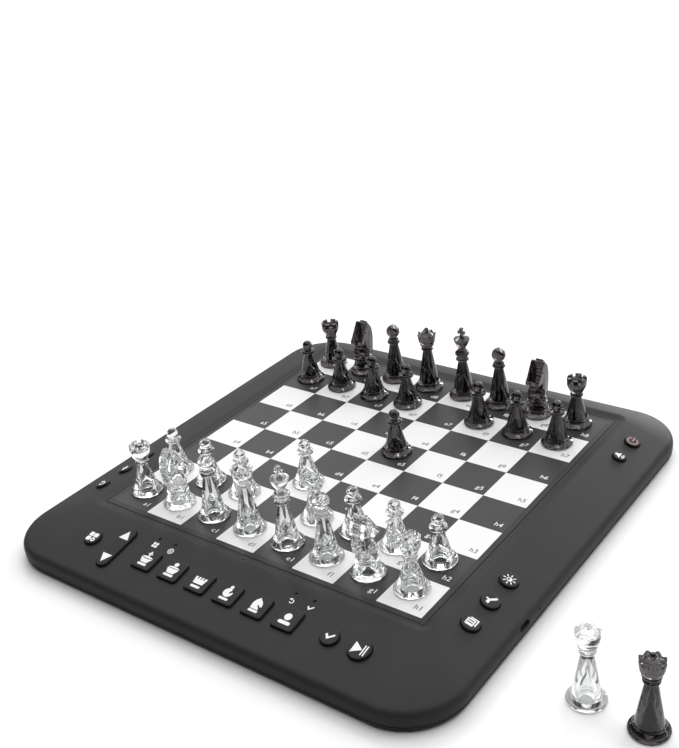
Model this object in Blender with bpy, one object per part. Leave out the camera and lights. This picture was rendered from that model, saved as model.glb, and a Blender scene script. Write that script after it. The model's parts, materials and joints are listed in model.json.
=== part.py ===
"""Electronic chess computer: case with sloping rims, keys, inner boards and a full set of playing pieces.

Metres, +Z up, +X along the first rank, +Y towards the far rank.
The origin is the centre of the case underside, on the face of the centre support pad.
"""
import math

import bmesh
import bpy
from mathutils import Matrix, Vector

# ---------------------------------------------------------------- driving dimensions
SQ = 0.028                      # one playing square
CASE_W = 0.3065                 # case, along X
CASE_D = 0.3195                 # case, along Y
CASE_R = 0.0351                 # plan corner radius of the case
EDGE = 0.0041                   # reach of the rounding between rim and wall
WALL = 0.0022                   # case wall thickness
GAP = 0.0003                    # clearance between separate pieces
Z_PAD = 0.0012                  # height of the support pads
Z_SPLIT = 0.0030                # seam between the bottom tray and the top case
Z_EDGE = 0.0113                 # line where the sloping rim meets the wall
Z_BOARD = 0.0193                # playing face
Z_TOP = 0.0205                  # inner, highest edge of the sloping rim
SHEET = 0.0010                  # playing surface thickness
BY = 0.01175                    # centre of the playing field, along Y
FIELD = 4.13 * SQ               # half size of the playing surface
BASIN = 4.385 * SQ              # half size of the sunken basin, at the rim
BASIN_R = 0.0080                # corner radius of the basin
DROP = Z_TOP - Z_EDGE           # fall of the rim, the same on all sides
FRONT_TILT = math.atan2(DROP, CASE_D / 2 + BY - BASIN)
SIDE_TILT = math.atan2(DROP, CASE_W / 2 - BASIN)
# heights of the button parts, square to the rim surface
CAP_H = 0.0016                  # top of a cap
FLANGE_H1 = -0.0025             # upper face of the flange that holds a cap in
FLANGE_H0 = -0.0037
STEM_H = -0.0043                # lowest point of a button
DOME_H = -0.0056                # top of a switch dome
BOARD_H1 = -0.0060              # upper face of the main board, parallel to the front rim
BOARD_H0 = -0.0072
SEAT_H = -0.0015                # tilting axis of the rocker
PCB_Z0 = 0.0088                 # sensor board under the playing surface
PCB_Z1 = 0.0100
HOLE_GAP = 0.00035              # clearance round a cap
FLANGE = 0.0011                 # width of the flange outside a cap
ROW_DOWN = 0.81                 # front row, in squares below the basin edge
SIDE_DOWN = 0.43                # side buttons, likewise
KEY_PITCH = 0.734
KEY_SIZE = 0.0140
ROCKER_LEN = 0.0308
ROCKER_W = 0.0084
ROCKER_REACH = 0.0109           # rocker stems, from its middle
PORT_Y = BY - 2.84 * SQ
PORT_Z = 0.0080
PIN_Y = BY - 2.26 * SQ
SPEAKER = (0.095, -0.110)
PIECE_Z = Z_BOARD + GAP
SIDES = 9                       # facets round a playing piece

# ---------------------------------------------------------------- start from nothing
for obj in list(bpy.data.objects):
    bpy.data.objects.remove(obj, do_unlink=True)
for mesh in list(bpy.data.meshes):
    bpy.data.meshes.remove(mesh)

PARTS = bpy.data.collections.new("chess_computer")
TOOLS = bpy.data.collections.new("cutters")
bpy.context.scene.collection.children.link(PARTS)
bpy.context.scene.collection.children.link(TOOLS)

LOOKS = {                       # colour, roughness, metallic, alpha
    "case_shell": ((0.060, 0.061, 0.064), 0.55, 0.0, 1.0),
    "key_plastic": ((0.040, 0.040, 0.042), 0.45, 0.0, 1.0),
    "board_sheet": ((0.075, 0.075, 0.073), 0.35, 0.0, 1.0),
    "circuit_board": ((0.020, 0.130, 0.060), 0.50, 0.0, 1.0),
    "cell_wrap": ((0.230, 0.230, 0.250), 0.40, 0.0, 1.0),
    "speaker_frame": ((0.030, 0.030, 0.030), 0.50, 0.0, 1.0),
    "port_steel": ((0.560, 0.560, 0.550), 0.30, 1.0, 1.0),
    "clear_plastic": ((0.900, 0.920, 0.940), 0.05, 0.0, 0.35),
    "smoke_plastic": ((0.070, 0.060, 0.062), 0.05, 0.0, 0.60),
}


def material(name, look):
    rgb, rough, metal, alpha = LOOKS[look]
    mat = bpy.data.materials.new(name)
    mat.use_nodes = True
    node = mat.node_tree.nodes["Principled BSDF"]
    node.inputs["Base Color"].default_value = (rgb[0], rgb[1], rgb[2], 1.0)
    node.inputs["Roughness"].default_value = rough
    node.inputs["Metallic"].default_value = metal
    node.inputs["Alpha"].default_value = alpha
    mat.diffuse_color = (rgb[0], rgb[1], rgb[2], alpha)
    return mat


# ---------------------------------------------------------------- mesh helpers
def rounded(cx, cy, w, d, r, z, k):
    """Corner-rounded rectangle as a counter-clockwise ring of 4 * (k + 1) points."""
    ring = []
    hx = w / 2 - r
    hy = d / 2 - r
    for sx, sy, start in ((1, 1, 0), (-1, 1, 90), (-1, -1, 180), (1, -1, 270)):
        for i in range(k + 1):
            a = math.radians(start + 90.0 * i / k)
            ring.append((cx + sx * hx + r * math.cos(a), cy + sy * hy + r * math.sin(a), z))
    return ring


def circle(cx, cy, r, z, n):
    if r == 0.0:
        return [(cx, cy, z)]
    ring = []
    for i in range(n):
        a = 2 * math.pi * (i + 0.5) / n
        ring.append((cx + r * math.cos(a), cy + r * math.sin(a), z))
    return ring


def placed(frame, rings):
    """The same rings, moved into a local frame."""
    return [[tuple(frame @ Vector(p)) for p in ring] for ring in rings]


def skin(bm, rings):
    """Closed body through a stack of rings; the first and last ring are capped."""
    rows = []
    for ring in rings:
        rows.append([bm.verts.new(p) for p in ring])
    for low, high in zip(rows, rows[1:]):
        n = max(len(low), len(high))
        for i in range(n):
            j = (i + 1) % n
            if len(low) == 1:
                bm.faces.new((low[0], high[j], high[i]))
            elif len(high) == 1:
                bm.faces.new((low[i], low[j], high[0]))
            else:
                bm.faces.new((low[i], low[j], high[j], high[i]))
    if len(rows[0]) > 2:
        bm.faces.new(list(reversed(rows[0])))
    if len(rows[-1]) > 2:
        bm.faces.new(rows[-1])


def add(name, bm, collection, origin=(0.0, 0.0, 0.0), look=None, smooth=35.0):
    bmesh.ops.recalc_face_normals(bm, faces=bm.faces)
    bmesh.ops.translate(bm, verts=bm.verts, vec=-Vector(origin))
    mesh = bpy.data.meshes.new(name)
    bm.to_mesh(mesh)
    bm.free()
    obj = bpy.data.objects.new(name, mesh)
    obj.location = origin
    collection.objects.link(obj)
    if look is None:
        obj.hide_render = True
        obj.display_type = "WIRE"
        return obj
    mesh.materials.append(material("mat_" + name, look))
    for poly in mesh.polygons:
        poly.use_smooth = True
    mesh.set_sharp_from_angle(angle=math.radians(smooth))
    return obj


def boolean(obj, tool, operation):
    mod = obj.modifiers.new(operation.lower() + "_" + tool.name, "BOOLEAN")
    mod.operation = operation
    mod.solver = "EXACT"
    mod.object = tool


def at_square(x, y):
    """A place on the playing field, counted in squares from its centre."""
    return x * SQ, BY + y * SQ


def seat(side, along, down):
    """Frame on the sloping rim: local Z is square to the rim, local X and Y lean from the world ones.

    along runs in squares beside the field, down in squares from the basin edge down the slope.
    """
    reach = down * SQ
    if side == "front":
        turn = Matrix.Rotation(FRONT_TILT, 4, "X")
        place = (along * SQ, BY - BASIN - reach * math.cos(FRONT_TILT), Z_TOP - reach * math.sin(FRONT_TILT))
        return Matrix.Translation(place) @ turn
    hand = 1.0 if side == "right" else -1.0
    turn = Matrix.Rotation(hand * SIDE_TILT, 4, "Y")
    place = (hand * (BASIN + reach * math.cos(SIDE_TILT)), BY + along * SQ, Z_TOP - reach * math.sin(SIDE_TILT))
    return Matrix.Translation(place) @ turn


# ---------------------------------------------------------------- button layout
ROUND_BUTTONS = {               # rim, squares along it, squares down it, radius
    "menu_button": ("front", -3.44, ROW_DOWN, 0.0053),
    "confirm_button": ("front", 2.80, ROW_DOWN, 0.0051),
    "play_button": ("front", 3.46, ROW_DOWN, 0.0063),
    "power_button": ("right", 3.52, SIDE_DOWN, 0.0049),
    "volume_button": ("right", 2.82, SIDE_DOWN, 0.0042),
    "brightness_button": ("right", -2.20, SIDE_DOWN, 0.0052),
    "hint_button": ("right", -2.91, SIDE_DOWN, 0.0052),
    "library_button": ("right", -3.62, SIDE_DOWN, 0.0052),
    "left_button_upper": ("left", -2.20, SIDE_DOWN, 0.0046),
    "left_button_middle": ("left", -2.91, SIDE_DOWN, 0.0046),
    "left_button_lower": ("left", -3.62, SIDE_DOWN, 0.0046),
}
KEYS = ("key_king", "key_queen", "key_rook", "key_bishop", "key_knight", "key_pawn")
KEY_ALONG = [(i - 2.5) * KEY_PITCH - 0.01 for i in range(len(KEYS))]
ROCKER_SEAT = seat("front", -2.72, ROW_DOWN)
LED_SEATS = [seat("front", along, 0.21) for along in (-2.02, -1.58, 1.58, 2.02)]


def rocker_ring(grow, h):
    w = ROCKER_W + 2 * grow
    straight_end = 0.00001      # keeps the two half circles from sharing a point
    return rounded(0, 0, w, ROCKER_LEN + 2 * grow, w / 2 - straight_end, h, 4)


# ---------------------------------------------------------------- case, upper half
def basin_rings(k):
    """Recess for the playing surface and the gentle dish round it, from the floor up to the rim."""
    recess = FIELD + 0.00035
    floor = Z_BOARD - SHEET - GAP
    rings = []
    for z in (floor, Z_BOARD - 0.0001):
        rings.append(rounded(0, BY, 2 * recess, 2 * recess, 0.0010, z, k))
    for part, rise in ((0.45, 0.22), (0.80, 0.62), (1.0, 1.0)):
        half = recess + part * (BASIN - recess)
        r = 0.0012 + part * (BASIN_R - 0.0012)
        rings.append(rounded(0, BY, 2 * half, 2 * half, r, Z_BOARD + rise * (Z_TOP - Z_BOARD), k))
    return rings


def edge_rings(rim, corner, steps):
    """Rounding between the sloping rim and the wall, as a curve with the sharp corner line as its control."""
    rings = [[] for i in range(steps + 1)]
    for top, sharp in zip(rim, corner):
        q = Vector(sharp)
        upper = q + EDGE * (Vector(top) - q).normalized()
        lower = q - Vector((0, 0, EDGE))
        for i, ring in enumerate(rings):
            t = i / steps
            ring.append(tuple((1 - t) ** 2 * upper + 2 * t * (1 - t) * q + t ** 2 * lower))
    return rings


def build_top_case():
    k = 6
    w, d, r = CASE_W, CASE_D, CASE_R
    rings = basin_rings(k)
    corner = rounded(0, 0, w, d, r, Z_EDGE, k)
    rings += edge_rings(rings[-1], corner, 5)
    draft = 0.0002
    z_foot = Z_SPLIT + GAP
    rings.append(rounded(0, 0, w - 2 * draft, d - 2 * draft, r - draft, z_foot, k))
    for z in (z_foot, Z_EDGE - 0.0018):
        rings.append(rounded(0, 0, w - 2 * WALL, d - 2 * WALL, r - WALL, z, k))
    inner = 2 * (BASIN + 0.0008)
    rings.append(rounded(0, BY, inner, inner, BASIN_R, Z_TOP - WALL, k))
    inner = 2 * (FIELD + WALL)
    floor_under = Z_BOARD - SHEET - GAP - 0.0015
    rings.append(rounded(0, BY, inner, inner, 0.0030, floor_under, k))
    bm = bmesh.new()
    skin(bm, rings)
    case = add("top_case", bm, PARTS, look="case_shell", smooth=28.0)

    deep, high = -0.0050, 0.0040
    cut = bmesh.new()
    for side, along, down, rad in ROUND_BUTTONS.values():
        holes = [circle(0, 0, rad + HOLE_GAP, h, 12) for h in (deep, high)]
        skin(cut, placed(seat(side, along, down), holes))
    for along in KEY_ALONG:
        size = KEY_SIZE + 2 * HOLE_GAP
        holes = [rounded(0, 0, size, size, 0.0022, h, 2) for h in (deep, high)]
        skin(cut, placed(seat("front", along, ROW_DOWN), holes))
    skin(cut, placed(ROCKER_SEAT, [rocker_ring(0.00045, h) for h in (deep, high)]))
    for frame in LED_SEATS:
        skin(cut, placed(frame, [circle(0, 0, 0.0009, h, 8) for h in (deep, high)]))
    cx, cy = at_square(0.0, -4.29)
    skin(cut, [circle(cx, cy, 0.0006, z, 8) for z in (Z_BOARD - 0.0060, Z_TOP + 0.0020)])
    boolean(case, add("cut_key_holes", cut, TOOLS), "DIFFERENCE")

    cut = bmesh.new()
    half = 0.0050
    port = rounded(0, 0, 0.0096, 0.0038, 0.0018, 0, 3)
    pin = circle(0, 0, 0.0007, 0, 8)
    for outline, y in ((port, PORT_Y), (pin, PIN_Y)):
        through = []
        for x in (CASE_W / 2 - half, CASE_W / 2 + half):
            through.append([(x, y + p[0], PORT_Z + p[1]) for p in outline])
        skin(cut, through)
    boolean(case, add("cut_port", cut, TOOLS), "DIFFERENCE")


# ---------------------------------------------------------------- case, lower half
def build_bottom_case():
    k = 6
    w, d, r = CASE_W - 2 * GAP, CASE_D - 2 * GAP, CASE_R - GAP
    lip = Z_SPLIT + 0.0018
    steps = ((0.0016, Z_PAD), (0.0004, Z_PAD + 0.0005), (0.0, Z_PAD + 0.0011), (0.0, Z_SPLIT),
             (WALL + 0.0004, Z_SPLIT), (WALL + 0.0006, lip), (WALL + 0.0018, lip),
             (WALL + 0.0020, Z_PAD + 0.0013))
    bm = bmesh.new()
    skin(bm, [rounded(0, 0, w - 2 * inset, d - 2 * inset, r - inset, z, k) for inset, z in steps])
    case = add("bottom_case", bm, PARTS, look="case_shell", smooth=28.0)

    pads = bmesh.new()
    top = Z_PAD + 0.0006
    from_edge = 0.028
    for sx in (-1, 1):
        for sy in (-1, 1):
            cx = sx * (CASE_W / 2 - from_edge)
            cy = sy * (CASE_D / 2 - from_edge)
            skin(pads, [circle(cx, cy, 0.0075, 0.0, 12), circle(cx, cy, 0.0080, top, 12)])
    skin(pads, [rounded(0, 0, 0.060, 0.030, 0.004, z, 2) for z in (0.0, top)])
    boolean(case, add("join_pads", pads, TOOLS), "UNION")

    cut = bmesh.new()
    sx, sy = SPEAKER
    for ring_r, count in ((0.0, 1), (0.0045, 6)):
        for i in range(count):
            a = 2 * math.pi * i / count
            x = sx + ring_r * math.cos(a)
            y = sy + ring_r * math.sin(a)
            skin(cut, [circle(x, y, 0.0011, z, 6) for z in (0.0005, 0.0040)])
    boolean(case, add("cut_speaker_holes", cut, TOOLS), "DIFFERENCE")


# ---------------------------------------------------------------- inside of the case
def dome(bm, frame, low):
    """Switch dome under a button; low is the height of its foot inside the board."""
    skin(bm, placed(frame, [circle(0, 0, 0.0020, low, 8), circle(0, 0, 0.0014, DOME_H, 8)]))


def build_surface():
    bm = bmesh.new()
    rings = [rounded(0, BY, 2 * FIELD, 2 * FIELD, 0.0008, z, 3) for z in (Z_BOARD - SHEET, Z_BOARD - 0.0001)]
    rings.append(rounded(0, BY, 2 * FIELD - 0.0002, 2 * FIELD - 0.0002, 0.0007, Z_BOARD, 3))
    skin(bm, rings)
    add("playing_surface", bm, PARTS, look="board_sheet")


def build_sensor_board():
    half_w = CASE_W / 2 - 0.0115
    y0 = BY - 4.46 * SQ
    y1 = CASE_D / 2 - 0.0100
    bm = bmesh.new()
    skin(bm, [rounded(0, (y0 + y1) / 2, 2 * half_w, y1 - y0, 0.020, z, 3) for z in (PCB_Z0, PCB_Z1)])
    board = add("sensor_board", bm, PARTS, look="circuit_board")
    bm = bmesh.new()
    for side, along, down, rad in ROUND_BUTTONS.values():
        if side != "front":
            dome(bm, seat(side, along, down), -0.0078)
    boolean(board, add("join_side_domes", bm, TOOLS), "UNION")


def build_main_board():
    """Key board behind the front row, parallel to the front rim."""
    near, far = 0.0042, 0.0394
    frame = seat("front", 0.0, 0.0)
    bm = bmesh.new()
    outline = [rounded(0, -(near + far) / 2, 0.232, far - near, 0.003, h, 2) for h in (BOARD_H0, BOARD_H1)]
    skin(bm, placed(frame, outline))
    board = add("main_board", bm, PARTS, look="circuit_board")
    foot = BOARD_H1 - 0.0004
    bm = bmesh.new()
    for side, along, down, rad in ROUND_BUTTONS.values():
        if side == "front":
            dome(bm, seat(side, along, down), foot)
    for along in KEY_ALONG:
        dome(bm, seat("front", along, ROW_DOWN), foot)
    for end in (-ROCKER_REACH, ROCKER_REACH):
        dome(bm, ROCKER_SEAT @ Matrix.Translation((0, end, 0)), foot)
    for led in LED_SEATS:
        skin(bm, placed(led, [rounded(0, 0, 0.0030, 0.0030, 0.0004, h, 1) for h in (foot, -0.0040)]))
    chip = seat("front", 0.0, 0.0) @ Matrix.Translation((0, -0.0352, 0))
    skin(bm, placed(chip, [rounded(0, 0, 0.0070, 0.0070, 0.0004, h, 1) for h in (foot, -0.0050)]))
    boolean(board, add("join_components", bm, TOOLS), "UNION")


def build_battery():
    bm = bmesh.new()
    rings = []
    for inset, z in ((0.0006, 0.0033), (0.0, 0.0038), (0.0, 0.0069), (0.0006, 0.0074)):
        rings.append(rounded(-0.045, -0.030, 0.070 - 2 * inset, 0.045 - 2 * inset, 0.003 - inset, z, 2))
    skin(bm, rings)
    add("battery_pack", bm, PARTS, look="cell_wrap")


def build_speaker():
    bm = bmesh.new()
    sx, sy = SPEAKER
    profile = ((0.0, 0.0036), (0.0070, 0.0033), (0.0100, 0.0033), (0.0100, 0.0043),
               (0.0080, 0.0048), (0.0060, 0.0048), (0.0055, 0.0063), (0.0, 0.0063))
    skin(bm, [circle(sx, sy, r, z, 14) for r, z in profile])
    add("speaker", bm, PARTS, look="speaker_frame")


def build_socket():
    mouth = CASE_W / 2 - WALL - 0.0014
    bm = bmesh.new()
    rings = []
    for x, w, h in ((mouth - 0.0070, 0.0090, 0.0032), (mouth, 0.0090, 0.0032),
                    (mouth, 0.0083, 0.0025), (mouth - 0.0055, 0.0083, 0.0025)):
        ring = rounded(0, 0, w, h, h / 2 - 0.0001, 0, 3)
        rings.append([(x, PORT_Y + p[0], PORT_Z + p[1]) for p in ring])
    skin(bm, rings)
    port = add("usb_socket", bm, PARTS, look="port_steel")
    bm = bmesh.new()
    tongue = rounded(0, 0, 0.0066, 0.0007, 0.0001, 0, 1)
    skin(bm, [[(x, PORT_Y + p[0], PORT_Z + p[1]) for p in tongue] for x in (mouth - 0.0060, mouth - 0.0008)])
    boolean(port, add("join_port_tongue", bm, TOOLS), "UNION")


# ---------------------------------------------------------------- buttons
def build_round_button(name, side, along, down, rad):
    frame = seat(side, along, down)
    bm = bmesh.new()
    profile = ((0.0016, STEM_H), (0.0016, FLANGE_H0), (rad + FLANGE, FLANGE_H0), (rad + FLANGE, FLANGE_H1),
               (rad, FLANGE_H1), (rad, CAP_H - 0.0004), (rad - 0.0006, CAP_H))
    skin(bm, placed(frame, [circle(0, 0, r, h, 12) for r, h in profile]))
    add(name, bm, PARTS, origin=frame.translation, look="key_plastic", smooth=40.0)


def build_key(name, along):
    frame = seat("front", along, ROW_DOWN)
    stem = 0.0032
    foot = KEY_SIZE + 2 * FLANGE
    profile = ((stem, 0.0004, STEM_H), (stem, 0.0004, FLANGE_H0), (foot, 0.0020, FLANGE_H0),
               (foot, 0.0020, FLANGE_H1), (KEY_SIZE, 0.0019, FLANGE_H1),
               (KEY_SIZE, 0.0019, CAP_H - 0.0004), (KEY_SIZE - 0.0008, 0.0016, CAP_H))
    bm = bmesh.new()
    skin(bm, placed(frame, [rounded(0, 0, size, size, r, h, 2) for size, r, h in profile]))
    add(name, bm, PARTS, origin=frame.translation, look="key_plastic", smooth=40.0)


def build_rocker():
    bm = bmesh.new()
    profile = ((-0.0012, -0.0034), (0.0, -0.0028), (0.0, CAP_H - 0.0004), (-0.0005, CAP_H))
    skin(bm, placed(ROCKER_SEAT, [rocker_ring(grow, h) for grow, h in profile]))
    pivot = ROCKER_SEAT @ Vector((0, 0, SEAT_H))
    rocker = add("rocker_button", bm, PARTS, origin=pivot, look="key_plastic", smooth=40.0)
    bm = bmesh.new()
    for end in (-ROCKER_REACH, ROCKER_REACH):
        skin(bm, placed(ROCKER_SEAT, [circle(0, end, 0.0016, h, 8) for h in (STEM_H, -0.0020)]))
    skin(bm, placed(ROCKER_SEAT, [rounded(0, 0, ROCKER_W + 0.0030, 0.0024, 0.0004, h, 1)
                                  for h in (-0.0040, -0.0027)]))
    boolean(rocker, add("join_rocker_pivot", bm, TOOLS), "UNION")


# ---------------------------------------------------------------- playing pieces
# In squares: apex of the hollow, then the outline above the base as radius and height.
BASE = ((0.330, 0.0), (0.355, 0.04), (0.340, 0.11), (0.265, 0.17))
PROFILES = {
    "pawn": (0.40, ((0.245, 0.24), (0.098, 0.72), (0.180, 0.79),
                    (0.090, 0.85), (0.128, 0.94), (0.085, 1.04), (0.0, 1.07))),
    "rook": (0.40, ((0.245, 0.24), (0.105, 0.72), (0.150, 0.76), (0.150, 0.85),
                    (0.215, 0.96), (0.225, 1.18), (0.150, 1.18), (0.140, 1.01), (0.0, 1.01))),
    "bishop": (0.58, ((0.250, 0.24), (0.105, 0.98), (0.155, 1.05), (0.145, 1.11),
                      (0.090, 1.15), (0.165, 1.31), (0.120, 1.46), (0.0, 1.51))),
    "queen": (0.64, ((0.250, 0.24), (0.105, 1.03), (0.150, 1.08), (0.115, 1.13), (0.150, 1.19),
                     (0.210, 1.38), (0.190, 1.44), (0.060, 1.52), (0.050, 1.60), (0.0, 1.62))),
    "king": (0.60, ((0.250, 0.24), (0.105, 0.93), (0.160, 1.01), (0.175, 1.20),
                    (0.090, 1.28), (0.195, 1.51), (0.150, 1.56), (0.0, 1.60))),
    "knight": (0.44, ((0.250, 0.24), (0.215, 0.44), (0.230, 0.52), (0.0, 0.54))),
}
# Knight's head from the side: forward and height, in squares.
HEAD = ((-0.190, 0.488), (-0.235, 0.656), (-0.260, 0.856), (-0.255, 1.056), (-0.210, 1.200), (-0.130, 1.296),
        (-0.060, 1.352), (0.020, 1.264), (0.100, 1.136), (0.190, 1.000), (0.262, 0.896), (0.268, 0.852),
        (0.215, 0.816), (0.130, 0.836), (0.060, 0.816), (0.040, 0.784), (0.090, 0.704), (0.150, 0.624),
        (0.160, 0.488))
HOLLOW = ((0.125, 0.22), (0.135, 0.0))
# Every piece stands this far off the middle of its square, towards the left and the back.
STAND_X = -0.106
STAND_Y = 0.133


def box_between(bm, lo, hi):
    ring = ((lo[0], lo[1]), (hi[0], lo[1]), (hi[0], hi[1]), (lo[0], hi[1]))
    skin(bm, [[(x, y, z) for x, y in ring] for z in (lo[2], hi[2])])


def cut_crenels(piece, x, y, z):
    """Three slots across the rook's head give six teeth."""
    tool = bmesh.new()
    bar = ((-0.30, -0.04), (0.30, -0.04), (0.30, 0.04), (-0.30, 0.04))
    for third in range(3):
        spin = Matrix.Translation((x, y, z)) @ Matrix.Rotation(third * math.pi / 3, 4, "Z")
        skin(tool, placed(spin, [[(a * SQ, b * SQ, h * SQ) for a, b in bar] for h in (1.08, 1.27)]))
    boolean(piece, add("cut_" + piece.name, tool, TOOLS), "DIFFERENCE")


def add_cross(piece, x, y, z):
    half = 0.034 * SQ
    bm = bmesh.new()
    box_between(bm, (x - half, y - half, z + 1.56 * SQ), (x + half, y + half, z + 1.81 * SQ))
    boolean(piece, add("join_post_" + piece.name, bm, TOOLS), "UNION")
    arm = 0.090 * SQ
    half = 0.031 * SQ
    bm = bmesh.new()
    box_between(bm, (x - arm, y - half, z + 1.665 * SQ), (x + arm, y + half, z + 1.725 * SQ))
    boolean(piece, add("join_arm_" + piece.name, bm, TOOLS), "UNION")


def add_head(piece, x, y, z, facing):
    """Knight's head: the side outline at four widths, a little smaller at the two outer ones."""
    rings = []
    for side, shrink in ((-0.17, 0.9), (-0.14, 1.0), (0.14, 1.0), (0.17, 0.9)):
        ring = []
        for forward, height in HEAD:
            lift = shrink if height > 0.6 else 1.0
            ring.append((x + side * SQ, y + facing * forward * shrink * SQ,
                         z + (0.9 + (height - 0.9) * lift) * SQ))
        rings.append(ring)
    bm = bmesh.new()
    skin(bm, rings)
    boolean(piece, add("join_" + piece.name, bm, TOOLS), "UNION")


def build_piece(name, kind, x, y, z, look, facing):
    apex, profile = PROFILES[kind]
    bm = bmesh.new()
    outline = ((0.0, apex),) + HOLLOW + BASE + profile
    skin(bm, [circle(x, y, r * SQ, z + h * SQ, SIDES) for r, h in outline])
    piece = add(name, bm, PARTS, origin=(x, y, z), look=look, smooth=50.0)
    if kind == "rook":
        cut_crenels(piece, x, y, z)
    if kind == "king":
        add_cross(piece, x, y, z)
    if kind == "knight":
        add_head(piece, x, y, z, facing)


def build_set():
    order = ("rook", "knight", "bishop", "queen", "king", "bishop", "knight", "rook")
    files = "abcdefgh"
    sides = (("white", "clear_plastic", -3.5, -2.5, 1), ("black", "smoke_plastic", 3.5, 2.5, -1))
    moved = {("white", "d"): -1.5, ("black", "e"): 0.5}
    for colour, look, back, front, facing in sides:
        for i, kind in enumerate(order):
            x, y = at_square(i - 3.5 + STAND_X, back + STAND_Y)
            build_piece(colour + "_" + kind + "_" + files[i], kind, x, y, PIECE_Z, look, facing)
        for i in range(8):
            x, y = at_square(i - 3.5 + STAND_X, moved.get((colour, files[i]), front) + STAND_Y)
            build_piece(colour + "_pawn_" + files[i], "pawn", x, y, PIECE_Z, look, facing)
    x, y = at_square(7.07, -3.68)
    build_piece("white_queen_spare", "queen", x, y, 0.0, "clear_plastic", 1)
    x, y = at_square(8.23, -3.80)
    build_piece("black_queen_spare", "queen", x, y, 0.0, "smoke_plastic", 1)


build_bottom_case()
build_top_case()
build_surface()
build_sensor_board()
build_main_board()
build_battery()
build_speaker()
build_socket()
for button, (rim_side, rim_along, rim_down, radius) in ROUND_BUTTONS.items():
    build_round_button(button, rim_side, rim_along, rim_down, radius)
for button, rim_along in zip(KEYS, KEY_ALONG):
    build_key(button, rim_along)
build_rocker()
build_set()
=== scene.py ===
"""Looks of the electronic chess computer: case, keys with icons, printed board and clear pieces."""
import json
import math

import bmesh
import bpy
from mathutils import Matrix, Vector


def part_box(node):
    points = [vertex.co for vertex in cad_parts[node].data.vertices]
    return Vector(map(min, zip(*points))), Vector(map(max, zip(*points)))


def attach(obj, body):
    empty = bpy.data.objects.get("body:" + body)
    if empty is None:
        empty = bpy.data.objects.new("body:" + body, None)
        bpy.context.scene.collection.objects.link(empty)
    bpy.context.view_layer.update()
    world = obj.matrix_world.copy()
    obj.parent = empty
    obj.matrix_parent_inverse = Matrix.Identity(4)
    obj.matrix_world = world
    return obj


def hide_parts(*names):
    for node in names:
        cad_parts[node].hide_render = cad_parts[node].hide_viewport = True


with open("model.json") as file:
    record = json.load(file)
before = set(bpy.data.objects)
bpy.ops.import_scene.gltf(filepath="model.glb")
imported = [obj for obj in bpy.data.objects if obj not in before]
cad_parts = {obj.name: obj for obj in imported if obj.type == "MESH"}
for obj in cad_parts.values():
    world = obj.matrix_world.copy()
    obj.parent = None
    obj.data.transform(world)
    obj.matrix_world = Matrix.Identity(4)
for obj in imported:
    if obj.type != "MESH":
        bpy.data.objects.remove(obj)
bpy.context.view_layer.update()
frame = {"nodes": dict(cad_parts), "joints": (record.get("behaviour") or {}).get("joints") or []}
NODES = sorted(frame["nodes"])
JOINTS = {joint["child"]: joint for joint in frame["joints"]}
MM = 0.001

# ------------------------ sizes, from the frame
SHEET_SQUARES = 8.26  # width of the printed sheet, in squares
FIELD_LO, FIELD_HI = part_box("playing_surface")
CASE_LO, CASE_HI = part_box("top_case")
TRAY_LO, TRAY_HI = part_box("bottom_case")
SQ = (FIELD_HI.x - FIELD_LO.x) / SHEET_SQUARES  # one playing square
BY = (FIELD_LO.y + FIELD_HI.y) / 2  # centre of the playing field, along Y
Z_BOARD = FIELD_HI.z
Z_TOP = CASE_HI.z  # inner, highest edge of the sloping rim
Z_SPLIT = CASE_LO.z
CASE_W = CASE_HI.x - CASE_LO.x
CASE_D = CASE_HI.y - CASE_LO.y
CASE_R = 1.2536 * SQ  # plan corner radius
DROP = 9.2 * MM  # fall of the rim down to the wall
Z_EDGE = Z_TOP - DROP
EDGE = 4.1 * MM  # reach of the rounding between rim and wall
WALL = 2.2 * MM
BASIN = 4.385 * SQ  # half size of the basin at the rim
BASIN_R = 8.0 * MM  # its corner radius at the rim
DISH_R = 1.2 * MM  # and at the printed sheet
SHEET_GAP = 0.35 * MM
CASE_STEPS = 20  # steps in each corner of the case
PORT_LO, PORT_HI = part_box("usb_socket")
PORT_Y = (PORT_LO.y + PORT_HI.y) / 2
PORT_Z = (PORT_LO.z + PORT_HI.z) / 2
PIN_Y = BY - 2.26 * SQ  # small hole in the right wall
CORNERS = [(sx, sy) for sx in (-1, 1) for sy in (-1, 1)]
# heights of the button parts, square to the rim
CAP_H = 1.6 * MM
FLANGE_H1 = -2.5 * MM
FLANGE_H0 = -3.7 * MM
STEM_H = -4.3 * MM
FLANGE = 1.1 * MM  # how far a flange stands out from its cap
HOLE_GAP = 0.35 * MM
ROCKER_GAP = 0.45 * MM


# ------------------------ materials
def shader(name, rgb, rough, metal=0.0, gloss=0.5):
    """A plain material; returns it with its node tree and its shader node."""
    mat = bpy.data.materials.new(name)
    mat.use_nodes = True
    node = mat.node_tree.nodes["Principled BSDF"]
    node.inputs["Base Color"].default_value = (*rgb, 1.0)
    node.inputs["Roughness"].default_value = rough
    node.inputs["Metallic"].default_value = metal
    node.inputs["Specular IOR Level"].default_value = gloss
    mat.diffuse_color = (*rgb, 1.0)
    return mat, mat.node_tree, node


def noise(tree, scale, detail=3.0, rough=0.5):
    """Noise fixed to the object, scale in cells per metre."""
    coords = tree.nodes.new("ShaderNodeTexCoord")
    tex = tree.nodes.new("ShaderNodeTexNoise")
    tex.inputs["Scale"].default_value = scale
    tex.inputs["Detail"].default_value = detail
    tex.inputs["Roughness"].default_value = rough
    tree.links.new(coords.outputs["Object"], tex.inputs["Vector"])
    return tex.outputs["Fac"]


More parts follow.
